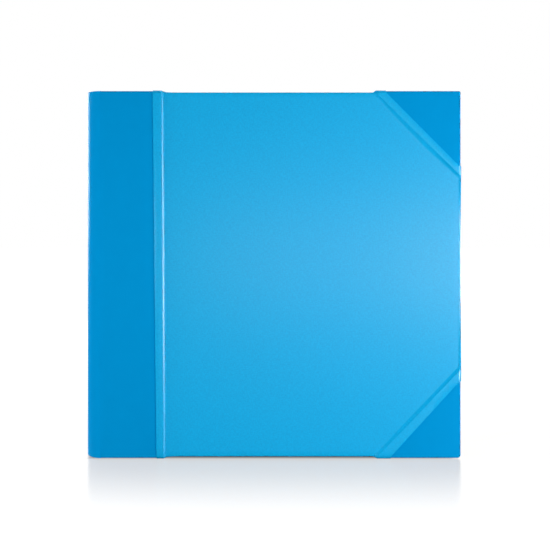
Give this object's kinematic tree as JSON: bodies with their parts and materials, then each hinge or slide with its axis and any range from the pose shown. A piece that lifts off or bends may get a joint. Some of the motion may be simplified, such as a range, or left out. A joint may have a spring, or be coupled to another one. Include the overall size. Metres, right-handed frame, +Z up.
{
  "type": "scrapbook album",
  "caption": "Square post-free scrapbook album with leather-backed, cloth-sided hinged covers and card leaves that turn on flat straps.",
  "frame": {"origin": "middle of the album's overall width and depth, on the surface that it stands on", "axes": "+X from the spine to the fore-edge, +Y from the front cover to the back cover, +Z up the height of the covers"},
  "size_m": [0.3296, 0.0556, 0.3216],
  "materials": {
    "board": "raw grey board",
    "leather": "smooth satin leather, dyed deep sky blue",
    "cloth": "fine linen weave, lighter sky blue",
    "filler_card": "plain card",
    "endpaper": "matt ivory paper",
    "liner": "thin card, bonded to the leather",
    "hinge_bar": "moulded white plastic",
    "strap": "flat nylon strap",
    "page_card": "smooth off-white card",
    "staple_wire": "flat bright wire",
    "protector_film": "clear polypropylene film"
  },
  "bodies": {
    "spine": {"spine_outer_leather": "leather", "spine_outer_liner": "liner", "spine_inner_leather": "leather", "spine_inner_liner": "liner", "front_hinge_bar": "hinge_bar", "back_hinge_bar": "hinge_bar", "strap_1": "strap", "strap_2": "strap", "strap_3": "strap", "strap_4": "strap"},
    "front_cover": {"front_board": "board", "front_spine_leather": "leather", "front_side_cloth": "cloth", "front_filler_card": "filler_card", "front_endpaper": "endpaper", "front_upper_corner": "leather", "front_lower_corner": "leather"},
    "back_cover": {"back_board": "board", "back_spine_leather": "leather", "back_side_cloth": "cloth", "back_filler_card": "filler_card", "back_endpaper": "endpaper", "back_upper_corner": "leather", "back_lower_corner": "leather"},
    "leaf_01": {"page_01": "page_card", "staples_01": "staple_wire", "protector_01": "protector_film"},
    "leaf_02": {"page_02": "page_card", "staples_02": "staple_wire", "protector_02": "protector_film"},
    "leaf_03": {"page_03": "page_card", "staples_03": "staple_wire", "protector_03": "protector_film"},
    "leaf_04": {"page_04": "page_card", "staples_04": "staple_wire", "protector_04": "protector_film"},
    "leaf_05": {"page_05": "page_card", "staples_05": "staple_wire", "protector_05": "protector_film"},
    "leaf_06": {"page_06": "page_card", "staples_06": "staple_wire", "protector_06": "protector_film"},
    "leaf_07": {"page_07": "page_card", "staples_07": "staple_wire", "protector_07": "protector_film"},
    "leaf_08": {"page_08": "page_card", "staples_08": "staple_wire", "protector_08": "protector_film"},
    "leaf_09": {"page_09": "page_card", "staples_09": "staple_wire", "protector_09": "protector_film"},
    "leaf_10": {"page_10": "page_card", "staples_10": "staple_wire", "protector_10": "protector_film"},
    "leaf_11": {"page_11": "page_card", "staples_11": "staple_wire", "protector_11": "protector_film"},
    "leaf_12": {"page_12": "page_card", "staples_12": "staple_wire", "protector_12": "protector_film"}
  },
  "joints": [
    {"name": "front_cover_hinge", "type": "hinge", "parent": "spine", "child": "front_cover", "pos_m": [-0.1504, -0.0273, 0.16], "axis": [0, 0, -1], "range_deg": [0, 180]},
    {"name": "back_cover_hinge", "type": "hinge", "parent": "spine", "child": "back_cover", "pos_m": [-0.1504, 0.0273, 0.16], "axis": [0, 0, 1], "range_deg": [0, 180]},
    {"name": "leaf_01_turn", "type": "hinge", "parent": "spine", "child": "leaf_01", "pos_m": [-0.1479, -0.01815, 0.16], "axis": [0, 0, -1], "range_deg": [0, 70.01]},
    {"name": "leaf_02_turn", "type": "hinge", "parent": "spine", "child": "leaf_02", "pos_m": [-0.1479, -0.01485, 0.16], "axis": [0, 0, -1], "range_deg": [0, 58.34]},
    {"name": "leaf_03_turn", "type": "hinge", "parent": "spine", "child": "leaf_03", "pos_m": [-0.1479, -0.01155, 0.16], "axis": [0, 0, -1], "range_deg": [0, 46.68]},
    {"name": "leaf_04_turn", "type": "hinge", "parent": "spine", "child": "leaf_04", "pos_m": [-0.1479, -0.00825, 0.16], "axis": [0, 0, -1], "range_deg": [0, 35.01]},
    {"name": "leaf_05_turn", "type": "hinge", "parent": "spine", "child": "leaf_05", "pos_m": [-0.1479, -0.00495, 0.16], "axis": [0, 0, -1], "range_deg": [0, 23.34]},
    {"name": "leaf_06_turn", "type": "hinge", "parent": "spine", "child": "leaf_06", "pos_m": [-0.1479, -0.00165, 0.16], "axis": [0, 0, -1], "range_deg": [0, 11.68]},
    {"name": "leaf_07_turn", "type": "hinge", "parent": "spine", "child": "leaf_07", "pos_m": [-0.1479, 0.00165, 0.16], "axis": [0, 0, 1], "range_deg": [0, 11.68]},
    {"name": "leaf_08_turn", "type": "hinge", "parent": "spine", "child": "leaf_08", "pos_m": [-0.1479, 0.00495, 0.16], "axis": [0, 0, 1], "range_deg": [0, 23.34]},
    {"name": "leaf_09_turn", "type": "hinge", "parent": "spine", "child": "leaf_09", "pos_m": [-0.1479, 0.00825, 0.16], "axis": [0, 0, 1], "range_deg": [0, 35.01]},
    {"name": "leaf_10_turn", "type": "hinge", "parent": "spine", "child": "leaf_10", "pos_m": [-0.1479, 0.01155, 0.16], "axis": [0, 0, 1], "range_deg": [0, 46.68]},
    {"name": "leaf_11_turn", "type": "hinge", "parent": "spine", "child": "leaf_11", "pos_m": [-0.1479, 0.01485, 0.16], "axis": [0, 0, 1], "range_deg": [0, 58.34]},
    {"name": "leaf_12_turn", "type": "hinge", "parent": "spine", "child": "leaf_12", "pos_m": [-0.1479, 0.01815, 0.16], "axis": [0, 0, 1], "range_deg": [0, 70.01]}
  ],
  "couplings": [
    {"joint": "leaf_01_turn", "follows": "front_cover_hinge", "ratio": 0.38889},
    {"joint": "leaf_02_turn", "follows": "front_cover_hinge", "ratio": 0.32407},
    {"joint": "leaf_03_turn", "follows": "front_cover_hinge", "ratio": 0.25926},
    {"joint": "leaf_04_turn", "follows": "front_cover_hinge", "ratio": 0.19444},
    {"joint": "leaf_05_turn", "follows": "front_cover_hinge", "ratio": 0.12963},
    {"joint": "leaf_06_turn", "follows": "front_cover_hinge", "ratio": 0.064815},
    {"joint": "leaf_07_turn", "follows": "back_cover_hinge", "ratio": 0.064815},
    {"joint": "leaf_08_turn", "follows": "back_cover_hinge", "ratio": 0.12963},
    {"joint": "leaf_09_turn", "follows": "back_cover_hinge", "ratio": 0.19444},
    {"joint": "leaf_10_turn", "follows": "back_cover_hinge", "ratio": 0.25926},
    {"joint": "leaf_11_turn", "follows": "back_cover_hinge", "ratio": 0.32407},
    {"joint": "leaf_12_turn", "follows": "back_cover_hinge", "ratio": 0.38889}
  ]
}
